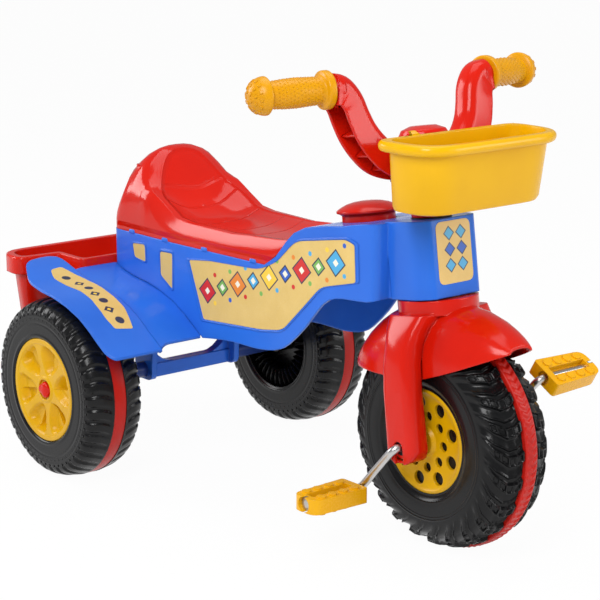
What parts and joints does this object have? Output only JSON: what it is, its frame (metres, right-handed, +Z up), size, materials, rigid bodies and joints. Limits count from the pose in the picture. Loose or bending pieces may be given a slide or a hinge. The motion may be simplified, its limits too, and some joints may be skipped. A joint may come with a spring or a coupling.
{
  "type": "child pedal tricycle",
  "caption": "Child's pedal tricycle with moulded body, bucket seat, front basket, rear bin, steered front wheel with cranks, and ball-ended grips.",
  "frame": {"origin": "on the ground, under the middle of the bounding box", "axes": "+Z up; -Y is the way the tricycle rides, so +Y points to its rear bin; +X to the rider's left, across the rear axle"},
  "size_m": [0.439, 0.7665, 0.5229],
  "materials": {
    "blue_plastic": "glossy moulded polypropylene",
    "red_plastic": "glossy moulded polypropylene",
    "red_soft_plastic": "satin soft plastic",
    "yellow_plastic": "glossy moulded polypropylene",
    "amber_plastic": "satin soft plastic",
    "black_wheel_plastic": "satin blow-moulded polyethylene",
    "black_bush_plastic": "satin nylon",
    "printed_film": "glossy printed film",
    "bright_steel": "bright plated steel",
    "zinc_steel": "zinc-plated steel"
  },
  "bodies": {
    "frame": {"body_shell": "blue_plastic", "seat": "red_plastic", "rear_bin": "red_plastic", "rear_axle": "zinc_steel", "axle_spacers": "blue_plastic", "axle_washers": "zinc_steel", "push_nuts": "zinc_steel", "head_bushes": "black_bush_plastic", "seat_screws": "zinc_steel", "bin_screws": "zinc_steel", "side_stickers": "printed_film", "window_stickers": "printed_film", "fender_stickers": "printed_film", "head_sticker": "printed_film", "horn_guide": "black_bush_plastic"},
    "steering": {"fork": "red_plastic", "handlebar": "red_plastic", "grip_right": "amber_plastic", "grip_left": "amber_plastic", "basket": "yellow_plastic", "steering_tube": "zinc_steel", "stem_bolt": "zinc_steel", "basket_screws": "zinc_steel", "crank_bushes": "black_bush_plastic", "tube_screw": "zinc_steel"},
    "front_wheel": {"front_tyre_right": "black_wheel_plastic", "front_tyre_left": "black_wheel_plastic", "front_band": "red_soft_plastic", "front_disc_right": "yellow_plastic", "front_disc_left": "yellow_plastic", "crank": "bright_steel", "pedal_nuts": "zinc_steel"},
    "right_pedal": {"pedal_right": "amber_plastic"},
    "left_pedal": {"pedal_left": "amber_plastic"},
    "horn": {"horn_button": "red_plastic"},
    "rear_wheel_right": {"rear_tyre_outer_right": "black_wheel_plastic", "rear_tyre_inner_right": "black_wheel_plastic", "rear_band_right": "red_soft_plastic", "rear_hub_right": "yellow_plastic", "hub_cap_right": "red_plastic"},
    "rear_wheel_left": {"rear_tyre_outer_left": "black_wheel_plastic", "rear_tyre_inner_left": "black_wheel_plastic", "rear_band_left": "red_soft_plastic", "rear_hub_left": "yellow_plastic", "hub_cap_left": "red_plastic"}
  },
  "joints": [
    {"name": "steering_turn", "type": "hinge", "parent": "frame", "child": "steering", "pos_m": [0, -0.2585, 0.125], "axis": [0, 0.1392, 0.9903], "range_deg": [-45, 45]},
    {"name": "front_wheel_spin", "type": "hinge", "parent": "steering", "child": "front_wheel", "pos_m": [0, -0.2585, 0.125], "axis": [1, 0, 0], "continuous": true},
    {"name": "right_pedal_spin", "type": "hinge", "parent": "front_wheel", "child": "right_pedal", "pos_m": [-0.125, -0.20445, 0.06602], "axis": [1, 0, 0], "continuous": true},
    {"name": "left_pedal_spin", "type": "hinge", "parent": "front_wheel", "child": "left_pedal", "pos_m": [0.125, -0.31255, 0.18398], "axis": [1, 0, 0], "continuous": true},
    {"name": "rear_wheel_right_spin", "type": "hinge", "parent": "frame", "child": "rear_wheel_right", "pos_m": [-0.1795, 0.2185, 0.11], "axis": [1, 0, 0], "continuous": true},
    {"name": "rear_wheel_left_spin", "type": "hinge", "parent": "frame", "child": "rear_wheel_left", "pos_m": [0.1795, 0.2185, 0.11], "axis": [1, 0, 0], "continuous": true},
    {"name": "horn_press", "type": "slide", "parent": "frame", "child": "horn", "axis": [0, -0.1392, -0.9903], "range_m": [0, 0.005], "stiffness_N_per_m": 600}
  ]
}
